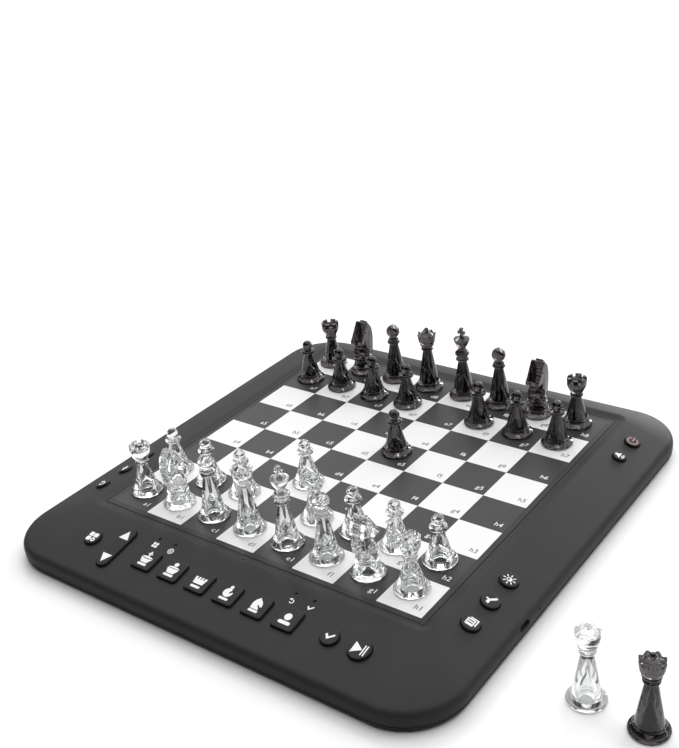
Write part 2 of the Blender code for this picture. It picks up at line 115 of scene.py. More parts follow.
def remap(tree, value, low, high):
    """Spreads noise, which stays mostly between 0.3 and 0.7, over low to high."""
    node = tree.nodes.new("ShaderNodeMapRange")
    node.inputs["From Min"].default_value = 0.3
    node.inputs["From Max"].default_value = 0.7
    node.inputs["To Min"].default_value = low
    node.inputs["To Max"].default_value = high
    tree.links.new(value, node.inputs["Value"])
    return node.outputs["Result"]


def tint(tree, value, dark, light):
    """Mixes two colours by a value."""
    node = tree.nodes.new("ShaderNodeMix")
    node.data_type = "RGBA"
    node.inputs["A"].default_value = (*dark, 1.0)
    node.inputs["B"].default_value = (*light, 1.0)
    tree.links.new(value, node.inputs["Factor"])
    return node.outputs["Result"]


def bump(tree, value, node, depth, strength=1.0):
    """Fine relief of a given depth."""
    relief = tree.nodes.new("ShaderNodeBump")
    relief.inputs["Strength"].default_value = strength
    relief.inputs["Distance"].default_value = depth
    tree.links.new(value, relief.inputs["Height"])
    tree.links.new(relief.outputs["Normal"], node.inputs["Normal"])


def moulded(name, rgb, rough, grain=1400.0, depth=0.02 * MM, spread=0.06):
    """Moulded plastic: slight cloudiness in the colour, spark-eroded grain in the surface."""
    mat, tree, node = shader(name, rgb, rough, gloss=0.13)
    cloud = noise(tree, 35.0, 4.0)
    dark = tuple(c * (1 - spread) for c in rgb)
    light = tuple(c * (1 + spread) for c in rgb)
    tree.links.new(tint(tree, cloud, dark, light), node.inputs["Base Color"])
    fine = noise(tree, grain, 2.0)
    tree.links.new(remap(tree, fine, rough - 0.05, rough + 0.05), node.inputs["Roughness"])
    bump(tree, fine, node, depth)
    return mat


def printed(name, rgb, rough=0.42, spread=0.015):
    """Screen-printed ink on a satin sheet."""
    mat, tree, node = shader(name, rgb, rough, gloss=0.17)
    speck = noise(tree, 900.0, 2.0)
    dark = tuple(c * (1 - spread) for c in rgb)
    light = tuple(min(1.0, c * (1 + spread)) for c in rgb)
    tree.links.new(tint(tree, speck, dark, light), node.inputs["Base Color"])
    tree.links.new(remap(tree, noise(tree, 60.0), rough - 0.04, rough + 0.04), node.inputs["Roughness"])
    bump(tree, speck, node, 0.006 * MM)
    return mat


def acrylic(name, rgb, rough, gloss=0.5, ior=1.49):
    """Polished transparent plastic with faint flow lines from moulding."""
    mat, tree, node = shader(name, rgb, rough, gloss=gloss)
    node.inputs["Transmission Weight"].default_value = 1.0
    node.inputs["IOR"].default_value = ior
    flow = noise(tree, 120.0, 1.0)
    dark = tuple(c * 0.97 for c in rgb)
    tree.links.new(tint(tree, flow, dark, rgb), node.inputs["Base Color"])
    bump(tree, flow, node, 0.03 * MM, 0.35)
    return mat


def circuit(name):
    """Green solder mask with a hint of tracks."""
    mat, tree, node = shader(name, (0.02, 0.13, 0.06), 0.35)
    coords = tree.nodes.new("ShaderNodeTexCoord")
    brick = tree.nodes.new("ShaderNodeTexBrick")
    brick.inputs["Scale"].default_value = 110.0
    brick.inputs["Mortar Size"].default_value = 0.04
    brick.inputs["Color1"].default_value = (0.018, 0.120, 0.055, 1)
    brick.inputs["Color2"].default_value = (0.022, 0.135, 0.062, 1)
    brick.inputs["Mortar"].default_value = (0.030, 0.180, 0.080, 1)
    tree.links.new(coords.outputs["Object"], brick.inputs["Vector"])
    tree.links.new(brick.outputs["Color"], node.inputs["Base Color"])
    bump(tree, brick.outputs["Fac"], node, 0.02 * MM)
    return mat


def metal(name, rgb, rough):
    """Plated metal with uneven polish."""
    mat, tree, node = shader(name, rgb, rough, 1.0)
    streak = noise(tree, 600.0, 2.0)
    tree.links.new(remap(tree, streak, rough - 0.06, rough + 0.08), node.inputs["Roughness"])
    bump(tree, streak, node, 0.004 * MM)
    return mat


CASE = moulded("case_charcoal", (0.030, 0.030, 0.0315), 0.52)
KEY = moulded("key_charcoal", (0.024, 0.024, 0.025), 0.45, grain=2000.0, depth=0.01 * MM)
RUBBER = moulded("foot_rubber", (0.020, 0.020, 0.020), 0.75, grain=900.0)
BLACK = moulded("speaker_black", (0.018, 0.018, 0.018), 0.6)
FOIL = moulded("cell_foil", (0.23, 0.23, 0.25), 0.35, grain=300.0)
WHITE_INK = printed("ink_white", (0.92, 0.92, 0.92))
RED_INK = printed("ink_dull_red", (0.42, 0.24, 0.25))
DARK_INK = printed("ink_dark", (0.022, 0.022, 0.021))
SQUARE_LIGHT = printed("square_light", (0.80, 0.80, 0.80), 0.38)
SQUARE_DARK = printed("square_dark", (0.040, 0.040, 0.039), 0.38)
BORDER = printed("field_border", (0.025, 0.025, 0.025), 0.45)
CLEAR = acrylic("acrylic_clear", (0.88, 0.89, 0.895), 0.0)
SMOKE = acrylic("acrylic_smoke", (0.064, 0.055, 0.056), 0.0)
BOARD_GREEN = circuit("circuit_green")
STEEL = metal("plated_steel", (0.60, 0.60, 0.59), 0.28)
LENS = acrylic("lamp_lens", (0.30, 0.30, 0.30), 0.15)


# ------------------------ mesh helpers
def rounded(cx, cy, w, d, r, z, k):
    """A ring in the shape of a rounded rectangle, with k steps in each corner."""
    ring = []
    hx = w / 2 - r
    hy = d / 2 - r
    for sx, sy, a0 in ((1, 1, 0), (-1, 1, 90), (-1, -1, 180), (1, -1, 270)):
        for i in range(k + 1):
            a = math.radians(a0 + 90.0 * i / k)
            ring.append((cx + sx * hx + r * math.cos(a), cy + sy * hy + r * math.sin(a), z))
    return ring


def circle(cx, cy, r, z, n):
    """A ring of n points, or one point where the radius comes to nothing."""
    if r < 0.001 * MM:
        return [(cx, cy, z)]
    turns = [2 * math.pi * (i + 0.5) / n for i in range(n)]
    return [(cx + r * math.cos(a), cy + r * math.sin(a), z) for a in turns]


def arc(cr, ch, rad, start, end, n):
    """Points of an arc in a profile of (radius, height), angles in degrees."""
    out = []
    for i in range(n + 1):
        a = math.radians(start + (end - start) * i / n)
        out.append((cr + rad * math.cos(a), ch + rad * math.sin(a)))
    return out


def quarter(radius, steps):
    """Insets round a quarter circle, from a side wall on to a face: (from the side, from the face)."""
    turns = [math.pi / 2 * i / steps for i in range(steps + 1)]
    return [(radius * (1 - math.sin(a)), radius * (1 - math.cos(a))) for a in turns]


def placed(seat, rings):
    """The same rings, moved into a local frame."""
    return [[tuple(seat @ Vector(p)) for p in ring] for ring in rings]


def skin(bm, rings):
    """Closed body through a stack of rings; the first and last ring are capped."""
    rows = [[bm.verts.new(p) for p in ring] for ring in rings]
    for low, high in zip(rows, rows[1:]):
        n = max(len(low), len(high))
        for i in range(n):
            j = (i + 1) % n
            if len(low) == 1:
                bm.faces.new((low[0], high[j], high[i]))
            elif len(high) == 1:
                bm.faces.new((low[i], low[j], high[0]))
            else:
                bm.faces.new((low[i], low[j], high[j], high[i]))
    if len(rows[0]) > 2:
        bm.faces.new(list(reversed(rows[0])))
    if len(rows[-1]) > 2:
        bm.faces.new(rows[-1])


def finish_mesh(name, bm, materials, smooth=30.0):
    """Makes an object of a bmesh; edges sharper than smooth degrees stay sharp."""
    bmesh.ops.recalc_face_normals(bm, faces=bm.faces)
    mesh = bpy.data.meshes.new(name)
    bm.to_mesh(mesh)
    bm.free()
    for mat in materials:
        mesh.materials.append(mat)
    for poly in mesh.polygons:
        poly.use_smooth = True
    mesh.set_sharp_from_angle(angle=math.radians(smooth))
    obj = bpy.data.objects.new(name, mesh)
    bpy.context.scene.collection.objects.link(obj)
    return obj


def solid(name, rings, mat):
    """A closed body through a stack of rings, as an object of one material."""
    bm = bmesh.new()
    skin(bm, rings)
    return finish_mesh(name, bm, [mat])


def carve(obj, tools, operation="DIFFERENCE"):
    """Applies a Boolean with each tool mesh and removes the tools."""
    for tool in tools:
        mod = obj.modifiers.new("carve", "BOOLEAN")
        mod.operation = operation
        mod.solver = "EXACT"
        mod.object = tool
        depsgraph = bpy.context.evaluated_depsgraph_get()
        mesh = bpy.data.meshes.new_from_object(obj.evaluated_get(depsgraph), depsgraph=depsgraph)
        obj.modifiers.clear()
        old = obj.data
        obj.data = mesh
        bpy.data.meshes.remove(old)
        bpy.data.objects.remove(tool, do_unlink=True)


def resmooth(obj, angle=30.0):
    """Sets the smooth shading again after a Boolean."""
    for poly in obj.data.polygons:
        poly.use_smooth = True
    obj.data.set_sharp_from_angle(angle=math.radians(angle))


def install(obj, body, slot, *replaced):
    """Hands a piece to the frame: its body and the CAD nodes that it replaces; the slot argument is not
    used.
    """
    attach(obj, body)
    if replaced:
        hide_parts(*replaced)


def at_square(x, y):
    """A place on the playing field, counted in squares from its centre."""
    return x * SQ, BY + y * SQ


def middle(node):
    """Centre of a CAD node."""
    lo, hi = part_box(node)
    return (lo + hi) / 2


def front_seat(along, down):
    """Frame on the front rim, like the button seats; both distances in squares."""
    tilt = math.atan2(DROP, CASE_D / 2 + BY - BASIN)
    reach = down * SQ
    place = (along * SQ, BY - BASIN - reach * math.cos(tilt), Z_TOP - reach * math.sin(tilt))
    return Matrix.Translation(place) @ Matrix.Rotation(tilt, 4, "X")


def button_seat(node):
    """Frame of a push button: its joint stands on the rim surface and pushes square to it."""
    outward = -Vector(JOINTS[node]["axis"])
    turn = Vector((0, 0, 1)).rotation_difference(outward).to_matrix().to_4x4()
    return Matrix.Translation(JOINTS[node]["pos_m"]) @ turn


# ------------------------ case
SQUARE_KEYS = ["key_king", "key_queen", "key_rook", "key_bishop", "key_knight", "key_pawn"]
ROUND_KEYS = [node for node in NODES if "_button" in node and node != "rocker_button"]
PIVOT_REST = 3.0 * MM  # how much longer the rocker's pivot bar is than the cap is wide
ROCKER_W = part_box("rocker_button")[1].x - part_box("rocker_button")[0].x - PIVOT_REST
ROCKER_LEN = 30.8 * MM
ROCKER_REACH = 10.9 * MM  # from the pivot to the studs under the ends
KEY_CORNER = 1.9 * MM
KEY_HOLE_CORNER = 2.2 * MM
KEY_ROW = 0.81  # squares below the basin edge, on the front rim
LAMP_ROW = 0.21
ROCKER_SEAT = front_seat(middle("rocker_button").x / SQ, KEY_ROW)
LAMPS = [front_seat(along, LAMP_ROW) for along in (-2.02, -1.58, 1.58, 2.02)]
LAMP_HOLE_R = 0.9 * MM
PIN_HOLE_R = 0.75 * MM  # in the right wall
SENSOR_HOLE_R = 0.65 * MM  # in the basin, before the first rank
SENSOR_PLACE = (0.0, -4.29)  # squares from the centre of the field
PORT_W, PORT_H, PORT_R = 9.6 * MM, 3.8 * MM, 1.85 * MM


def key_radius(node):
    """Cap radius from the 12-sided flange, measured along the level direction of the button."""
    lo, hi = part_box(node)
    level = max(hi.x - lo.x, hi.y - lo.y)
    return level / 2 / math.cos(math.radians(15)) - FLANGE


def key_size(node):
    """Width of a square cap, from its box."""
    lo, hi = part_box(node)
    return hi.x - lo.x - 2 * FLANGE


def rocker_ring(grow, h, k=12):
    """Outline of the rocker, grown on all sides, at height h."""
    w = ROCKER_W + 2 * grow
    return rounded(0, 0, w, ROCKER_LEN + 2 * grow, w / 2 - 0.01 * MM, h, k)


def hole(bm, seat, ring_at, chamfer=0.12 * MM):
    """A cutter with a small chamfer at the rim surface; ring_at(grow, h) gives its outline."""
    levels = ((0.0, -5.0 * MM), (0.0, -chamfer), (2 * chamfer, chamfer), (2 * chamfer, 4.0 * MM))
    skin(bm, placed(seat, [ring_at(grow, h) for grow, h in levels]))


def edge_rings(rim, corner, steps):
    """Rounding between the sloping rim and the wall; the sharp corner line steers the curve."""
    rings = [[] for i in range(steps + 1)]
    for top, sharp in zip(rim, corner):
        q = Vector(sharp)
        upper = q + EDGE * (Vector(top) - q).normalized()
        lower = q - Vector((0, 0, EDGE))
        for i, ring in enumerate(rings):
            t = i / steps
            ring.append(tuple((1 - t) ** 2 * upper + 2 * t * (1 - t) * q + t ** 2 * lower))
    return rings


def basin_rings():
    """Recess for the printed sheet, then an S-shaped dish up to the rounded rim."""
    recess = (FIELD_HI.x - FIELD_LO.x) / 2 + SHEET_GAP
    rings = []
    for z in (FIELD_LO.z - 0.3 * MM, Z_BOARD - 0.1 * MM):
        rings.append(rounded(0, BY, 2 * recess, 2 * recess, 1.0 * MM, z, CASE_STEPS))
    steps = 12
    for i in range(steps + 1):
        t = i / steps
        half = recess + 0.1 * MM + t * (BASIN - recess - 0.1 * MM)
        z = Z_BOARD + (1 - math.cos(math.pi * t)) / 2 * (Z_TOP - Z_BOARD)
        r = DISH_R + (BASIN_R - DISH_R) * t
        rings.append(rounded(0, BY, 2 * half, 2 * half, r, z, CASE_STEPS))
    return rings


def key_hole_tool():
    """Holes for the keys, the rocker, the lamps and the sensor."""
    cut = bmesh.new()
    for node in ROUND_KEYS:
        r = key_radius(node) + HOLE_GAP
        hole(cut, button_seat(node), lambda grow, h, r=r: circle(0, 0, r + grow, h, 48))
    for node in SQUARE_KEYS:
        size = key_size(node) + 2 * HOLE_GAP
        hole(cut, button_seat(node),
             lambda grow, h, s=size: rounded(0, 0, s + 2 * grow, s + 2 * grow, KEY_HOLE_CORNER + grow, h, 8))
    hole(cut, ROCKER_SEAT, lambda grow, h: rocker_ring(ROCKER_GAP + grow, h))
    for seat in LAMPS:
        hole(cut, seat, lambda grow, h: circle(0, 0, LAMP_HOLE_R + grow, h, 20))
    cx, cy = at_square(*SENSOR_PLACE)
    skin(cut, [circle(cx, cy, SENSOR_HOLE_R, z, 16) for z in (Z_BOARD - 6.0 * MM, Z_TOP + 2.0 * MM)])
    return finish_mesh("tool_keys", cut, [CASE])


def wall_hole_tool():
    """The flared socket opening and the pin hole in the right wall."""
    cut = bmesh.new()
    rings = []
    for x, grow in ((-5.0 * MM, 0.0), (-0.5 * MM, 0.0), (0.2 * MM, 0.6 * MM), (2.0 * MM, 0.6 * MM)):
        ring = rounded(0, 0, PORT_W + grow, PORT_H + grow, PORT_R + grow / 2, 0, 10)
        rings.append([(CASE_HI.x + x, PORT_Y + p[0], PORT_Z + p[1]) for p in ring])
    skin(cut, rings)
    rings = []
    for x in (CASE_HI.x - 5.0 * MM, CASE_HI.x + 2.0 * MM):
        rings.append([(x, PIN_Y + p[0], PORT_Z + p[1]) for p in circle(0, 0, PIN_HOLE_R, 0, 20)])
    skin(cut, rings)
    return finish_mesh("tool_port", cut, [CASE])


def make_top_case():
    """Shell from the sheet's recess over the rim and down the wall, then back up inside."""
    w, d, r = CASE_W, CASE_D, CASE_R
    rings = basin_rings()
    rings += edge_rings(rings[-1], rounded(0, 0, w, d, r, Z_EDGE, CASE_STEPS), 14)
    for inset, z in ((0.15 * MM, Z_SPLIT + 0.5 * MM), (0.4 * MM, Z_SPLIT), (WALL, Z_SPLIT),
                     (WALL, Z_EDGE - 1.8 * MM)):
        rings.append(rounded(0, 0, w - 2 * inset, d - 2 * inset, r - inset, z, CASE_STEPS))
    inner = 2 * (BASIN + 0.8 * MM)
    rings.append(rounded(0, BY, inner, inner, BASIN_R, Z_TOP - WALL, CASE_STEPS))
    inner = FIELD_HI.x - FIELD_LO.x + 2 * WALL
    rings.append(rounded(0, BY, inner, inner, 3.0 * MM, FIELD_LO.z - 1.8 * MM, CASE_STEPS))
    case = solid("top_shell", rings, CASE)
    carve(case, [key_hole_tool(), wall_hole_tool()])
    resmooth(case)
    install(case, "case", "case_plastic", "top_case")


# ------------------------ underside
BASE_Z = 1.2 * MM  # outer face of the tray
SCREW_SPOTS = [(sx * 0.40, sy * 0.42) for sx, sy in CORNERS] + [(0.0, 0.42), (0.0, -0.42)]
SCREWS = [(x * CASE_W, y * CASE_D) for x, y in SCREW_SPOTS]
FOOT_INSET = 28 * MM  # from the walls to the middle of a corner pad
# Outlines of a screw and a corner pad from the middle outwards, (radius, height) in mm.
SCREW_OUTLINE = [(0.0, 0.25), (0.9, 0.22), (1.7, 0.1), (2.2, 0.0), (2.5, 0.0), (2.5, 0.6), (1.2, 0.95),
                 (1.2, 1.6)]
FOOT_OUTLINE = [(0.0, 0.0), (6.9, 0.0), (7.3, 0.12), (7.5, 0.4), (7.5, 1.0), (7.9, 1.2), (7.9, 1.5)]


def tray_tool():
    """Speaker holes in three circles round a middle one, and the screw pockets."""
    cut = bmesh.new()
    spot = middle("speaker")
    for ring_r, count in ((0.0, 1), (2.6 * MM, 6), (5.2 * MM, 12), (7.6 * MM, 18)):
        for i in range(count):
            a = 2 * math.pi * i / count
            x = spot.x + ring_r * math.cos(a)
            y = spot.y + ring_r * math.sin(a)
            skin(cut, [circle(x, y, 0.7 * MM, z, 12) for z in (BASE_Z - 1.0 * MM, BASE_Z + 2.0 * MM)])
    for x, y in SCREWS:
        pocket = ((3.0 * MM, BASE_Z - 1.0 * MM), (2.8 * MM, BASE_Z + 0.9 * MM))
        skin(cut, [circle(x, y, r, z, 32) for r, z in pocket])
    return finish_mesh("tool_tray", cut, [CASE])


def make_bottom_case():
    """Tray with a rounded lower edge and a lip that stands inside the top shell."""
    w, d = TRAY_HI.x - TRAY_LO.x, TRAY_HI.y - TRAY_LO.y
    r = CASE_R - 0.3 * MM
    lip = WALL + 0.4 * MM
    rim = Z_SPLIT - 0.3 * MM
    levels = [(inset, BASE_Z + rise) for inset, rise in quarter(1.2 * MM, 6)]
    levels += [(0.0, rim), (lip, rim), (lip + 0.2 * MM, TRAY_HI.z), (lip + 1.4 * MM, TRAY_HI.z),
               (lip + 1.6 * MM, BASE_Z + 1.3 * MM)]
    rings = [rounded(0, 0, w - 2 * inset, d - 2 * inset, r - inset, z, CASE_STEPS) for inset, z in levels]
    tray = solid("bottom_tray", rings, CASE)
    carve(tray, [tray_tool()])
    resmooth(tray)
    install(tray, "case", "case_plastic", "bottom_case")


def cross_slot(x, y):
    """Two bars, cut one after the other, because a tool may not cross itself."""
    bars = []
    for w, d in ((0.5, 2.6), (2.6, 0.5)):
        rings = [rounded(x, y, w * MM, d * MM, 0.1 * MM, BASE_Z + z * MM, 2) for z in (-0.6, 0.55)]
        bars.append(solid("tool_cross", rings, STEEL))
    return bars


def make_screws():
    """Cross-head screws; the four near the corners lie below the pads."""
    for i, (x, y) in enumerate(SCREWS):
        rings = [circle(x, y, r * MM, BASE_Z + (z - 0.05) * MM, 24) for r, z in SCREW_OUTLINE]
        screw = solid("screw_%d" % (i + 1), rings, STEEL)
        carve(screw, cross_slot(x, y))
        resmooth(screw)
        install(screw, "case", "port_steel")


def make_feet():
    """Four round pads near the corners and a rectangular one in the middle."""
    for i, (sx, sy) in enumerate(CORNERS):
        x, y = sx * (CASE_W / 2 - FOOT_INSET), sy * (CASE_D / 2 - FOOT_INSET)
        rings = [circle(x, y, r * MM, z * MM, 48) for r, z in FOOT_OUTLINE]
        install(solid("foot_%d" % (i + 1), rings, RUBBER), "case", "key_plastic")
    rings = [rounded(0, 0, (60 + 2 * grow) * MM, (30 + 2 * grow) * MM, (4 + grow) * MM, z * MM, 8)
             for grow, z in ((-0.5, 0.0), (-0.1, 0.15), (0.0, 0.5), (0.0, 1.5))]
    install(solid("foot_centre", rings, RUBBER), "case", "key_plastic")


# ------------------------ playing surface
def make_surface():
    """The printed sheet: 8 by 8 cells and a border, one material each."""
    bm = bmesh.new()
    half = 4.0 * SQ
    edge = (FIELD_HI.x - FIELD_LO.x) / 2
    lines = [-edge, -edge + 0.1 * MM] + [-half + i * SQ for i in range(9)] + [edge - 0.1 * MM, edge]
    n = len(lines)
    top = {}
    for i, x in enumerate(lines):
        for j, y in enumerate(lines):
            drop = 0.1 * MM if i in (0, n - 1) or j in (0, n - 1) else 0.0
            top[i, j] = bm.verts.new((x, BY + y, Z_BOARD - drop))
    for i in range(n - 1):
        for j in range(n - 1):
            face = bm.faces.new((top[i, j], top[i + 1, j], top[i + 1, j + 1], top[i, j + 1]))
            inside = 2 <= i <= n - 4 and 2 <= j <= n - 4
            face.material_index = 1 + (i + j) % 2 if inside else 0
    loop = [(i, 0) for i in range(n)] + [(n - 1, j) for j in range(1, n)]
    loop += [(i, n - 1) for i in range(n - 2, -1, -1)] + [(0, j) for j in range(n - 2, 0, -1)]
    low = [bm.verts.new((top[key].co.x, top[key].co.y, FIELD_LO.z)) for key in loop]
    for a in range(len(loop)):
        b = (a + 1) % len(loop)
        bm.faces.new((top[loop[a]], low[a], low[b], top[loop[b]]))
    bm.faces.new(list(reversed(low)))
    install(finish_mesh("printed_sheet", bm, [BORDER, SQUARE_DARK, SQUARE_LIGHT]), "case", "board_sheet",
            "playing_surface")


LABEL_SIZE = 0.188 * SQ
LABEL_PLACE = (0.80, 0.215)  # in squares, from the near left corner of a cell


def text_mesh(text, size):
    """Flat letters as a mesh, centred on the origin."""
    curve = bpy.data.curves.new("glyphs", "FONT")
    curve.body = text
    curve.size = size
    curve.align_x = "CENTER"
    curve.align_y = "CENTER"
    curve.extrude = 0.01 * MM
    curve.resolution_u = 3
    obj = bpy.data.objects.new("glyphs", curve)
    bpy.context.scene.collection.objects.link(obj)
    depsgraph = bpy.context.evaluated_depsgraph_get()
    mesh = bpy.data.meshes.new_from_object(obj.evaluated_get(depsgraph), depsgraph=depsgraph)
    bpy.data.objects.remove(obj, do_unlink=True)
    bpy.data.curves.remove(curve)
    return mesh


def make_labels():
    """Coordinates in the near right corner of every square, white on dark and dark on white."""
    sheets = {0: bmesh.new(), 1: bmesh.new()}
    for i in range(8):
        for j in range(8):
            mesh = text_mesh("abcdefgh"[i] + str(j + 1), LABEL_SIZE)
            x, y = at_square(i - 4 + LABEL_PLACE[0], j - 4 + LABEL_PLACE[1])
            mesh.transform(Matrix.Translation((x, y, Z_BOARD + 0.012 * MM)))
            sheets[(i + j) % 2].from_mesh(mesh)
            bpy.data.meshes.remove(mesh)
    for parity, name, mat in ((0, "labels_white", WHITE_INK), (1, "labels_dark", DARK_INK)):
        install(finish_mesh(name, sheets[parity], [mat]), "case", "board_sheet")


# ------------------------ icons
# Every icon is drawn in a box from -1 to 1.
def flat(bm, outline, thick=1.0):
    """A flat shape from an outline in icon units, thick along its normal."""
    low = [bm.verts.new((x, y, 0.0)) for x, y in outline]
    high = [bm.verts.new((x, y, thick)) for x, y in outline]
    n = len(outline)
    for i in range(n):
        j = (i + 1) % n
        bm.faces.new((low[i], low[j], high[j], high[i]))
    bm.faces.new(list(reversed(low)))
    bm.faces.new(high)


def bar(bm, x0, y0, x1, y1, w):
    """A straight stroke with round ends."""
    a = math.atan2(y1 - y0, x1 - x0)
    out = []
    for cx, cy, start in ((x1, y1, -90), (x0, y0, 90)):
        for i in range(9):
            t = a + math.radians(start + 180 * i / 8)
            out.append((cx + w / 2 * math.cos(t), cy + w / 2 * math.sin(t)))
    flat(bm, out)


def disc(bm, cx, cy, rx, ry, n=28):
    """A filled ellipse."""
    turns = [2 * math.pi * i / n for i in range(n)]
    flat(bm, [(cx + rx * math.cos(a), cy + ry * math.sin(a)) for a in turns])


def band(bm, cx, cy, r, w, start, end, n=24):
    """A curved stroke of width w."""
    outer = arc(cx, cy, r + w / 2, start, end, n)
    inner = arc(cx, cy, r - w / 2, end, start, n)
    flat(bm, outer + inner)


def tile(bm, cx, cy, w, h, r):
    """A rounded rectangle."""
    flat(bm, [(p[0], p[1]) for p in rounded(cx, cy, w, h, r, 0, 4)])


def foot_bar(bm, half=0.60, y=-0.84):
    """The base line below a chess figure."""
    tile(bm, 0, y, 2 * half, 0.30, 0.10)


def icon_menu(bm):
    for x, y in ((-0.47, 0.47), (0.47, 0.47), (-0.47, -0.47)):
        tile(bm, x, y, 0.84, 0.84, 0.20)
    band(bm, 0.47, -0.47, 0.29, 0.26, 0, 178)
    band(bm, 0.47, -0.47, 0.29, 0.26, 180, 358)


def icon_up(bm):
    flat(bm, [(-1.0, -0.85), (1.0, -0.85), (0.0, 0.95)])


def icon_down(bm):
    flat(bm, [(-1.0, 0.85), (0.0, -0.95), (1.0, 0.85)])


def cup(bm, top, bottom, sag):
    """Lower half of a crowned piece: a bowl whose upper line hangs in the middle."""
    upper = [(x * top, 0.10 - sag * (1 - x * x)) for x in (1.0, 0.6, 0.2, -0.2, -0.6, -1.0)]
    flat(bm, [(-bottom, -0.58), (bottom, -0.58)] + upper)


def collar(bm, top, sag, crest):
    """Upper half of a crowned piece: a lens that lies on the bowl with a thin gap."""
    lower = [(x * top, 0.18 - sag * (1 - x * x)) for x in (-0.95, -0.6, -0.2, 0.2, 0.6, 0.95)]
    upper = [(x * top, 0.20 + crest * (1 - x * x)) for x in (0.95, 0.6, 0.2, -0.2, -0.6, -0.95)]
    flat(bm, lower + upper)


def icon_king(bm):
    bar(bm, 0, 0.42, 0, 0.95, 0.20)
    bar(bm, -0.22, 0.70, 0.22, 0.70, 0.18)
    cup(bm, 0.78, 0.44, 0.14)
    collar(bm, 0.78, 0.12, 0.14)
    foot_bar(bm)


def icon_queen(bm):
    disc(bm, 0, 0.70, 0.28, 0.27)
    cup(bm, 0.80, 0.48, 0.02)
    collar(bm, 0.80, 0.02, 0.20)
    foot_bar(bm, 0.65)


def icon_rook(bm):
    top = [(0.78, 0.45)]
    for x in (0.39, 0.0, -0.39):
        top += [(x + 0.08, 0.45), (x + 0.06, 0.12), (x - 0.06, 0.12), (x - 0.08, 0.45)]
    flat(bm, [(-0.64, -0.46), (0.64, -0.46)] + top + [(-0.78, 0.45)])
    foot_bar(bm, 0.61)


def icon_bishop(bm):
    disc(bm, 0, 0.76, 0.21, 0.21)
    body = arc(0.0, 0.0, 0.57, 62, 382, 26)
    flat(bm, body + [(0.17, -0.10), (0.11, 0.02)])
    foot_bar(bm, 0.58)


def icon_knight(bm):
    flat(bm, [(-0.54, -0.56), (0.46, -0.56), (0.30, -0.28), (0.06, -0.06), (0.14, 0.06), (0.46, -0.18),
              (0.62, -0.06), (0.51, 0.29), (0.30, 0.57), (0.04, 0.74), (-0.13, 0.96), (-0.25, 0.80),
              (-0.45, 0.57), (-0.60, 0.13)])
    foot_bar(bm, 0.57, -0.80)


def icon_pawn(bm):
    disc(bm, 0, 0.12, 0.42, 0.43)
    bar(bm, -0.52, -0.65, 0.52, -0.65, 0.42)


def icon_tick(bm):
    flat(bm, [(-0.20, -0.72), (0.95, 0.42), (0.72, 0.72), (-0.14, -0.10), (-0.62, 0.46), (-0.95, 0.22)])


def icon_play(bm):
    flat(bm, [(-0.90, -0.84), (0.42, 0.0), (-0.90, 0.84)])
    bar(bm, 0.54, -0.70, 0.54, 0.70, 0.17)
    bar(bm, 0.88, -0.70, 0.88, 0.70, 0.17)


def icon_power(bm):
    band(bm, 0, -0.05, 0.82, 0.22, 118, 422, 36)
    bar(bm, 0, 0.02, 0, 0.95, 0.22)


def icon_sound(bm):
    flat(bm, [(-0.90, -0.28), (-0.50, -0.30), (0.10, -0.78), (0.10, 0.78), (-0.50, 0.30), (-0.90, 0.28)])
    band(bm, 0.10, 0.0, 0.34, 0.18, -50, 50, 12)
    band(bm, 0.10, 0.0, 0.68, 0.18, -50, 50, 12)


def icon_sun(bm):
    band(bm, 0, 0, 0.36, 0.14, 90, 270)
    flat(bm, arc(0, 0, 0.43, -90, 90, 16))
    for i in range(8):
        a = math.radians(45 * i)
        bar(bm, 0.66 * math.cos(a), 0.66 * math.sin(a), 0.92 * math.cos(a), 0.92 * math.sin(a), 0.18)


def icon_hint(bm):
    """A hand: sleeve to the upper right, fingers bent down."""
    bar(bm, -0.10, 0.10, 0.42, 0.62, 0.40)
    tile(bm, 0.52, 0.80, 0.42, 0.34, 0.06)
    bar(bm, -0.20, 0.02, -0.68, 0.10, 0.28)
    bar(bm, -0.32, 0.04, -0.36, -0.62, 0.30)
    bar(bm, -0.12, 0.04, -0.16, -0.70, 0.26)


def icon_pages(bm):
    """A sheet with two lines of text and a second sheet behind it."""
    for y, h in ((0.58, 0.28), (0.10, 0.26), (-0.50, 0.50)):
        flat(bm, [(-0.90, y - h / 2), (0.55, y - h / 2), (0.55, y + h / 2), (-0.90, y + h / 2)])
    for x0, x1 in ((-0.90, -0.66), (0.31, 0.55)):
        flat(bm, [(x0, -0.76), (x1, -0.76), (x1, 0.72), (x0, 0.72)])
    flat(bm, [(-0.55, 0.82), (0.70, 0.82), (0.70, -0.42), (0.92, -0.42), (0.92, 1.04), (-0.55, 1.04)])


def icon_undo(bm):
    band(bm, 0.10, -0.16, 0.52, 0.26, -150, 95)
    flat(bm, [(-0.85, 0.36), (-0.10, -0.02), (-0.10, 0.80)])


def icon_grid(bm):
    for x in (-0.46, 0.46):
        for y in (-0.46, 0.46):
            tile(bm, x, y, 0.78, 0.78, 0.20)


def icon_globe(bm):
    for start in (0, 180):
        band(bm, 0, 0, 0.78, 0.20, start, start + 178, 24)
    bar(bm, -0.62, 0.24, 0.62, 0.24, 0.15)
    bar(bm, -0.62, -0.26, 0.62, -0.26, 0.15)
    bar(bm, 0, -0.66, 0, 0.66, 0.15)


def icon_flip(bm):
    bar(bm, 0.0, -0.60, 0.0, 0.60, 0.50)
    bar(bm, -0.50, 0.0, 0.50, 0.0, 0.22)


def icon_dot(bm):
    disc(bm, 0, 0, 0.55, 0.55)


INK_DEPTH = 0.03 * MM


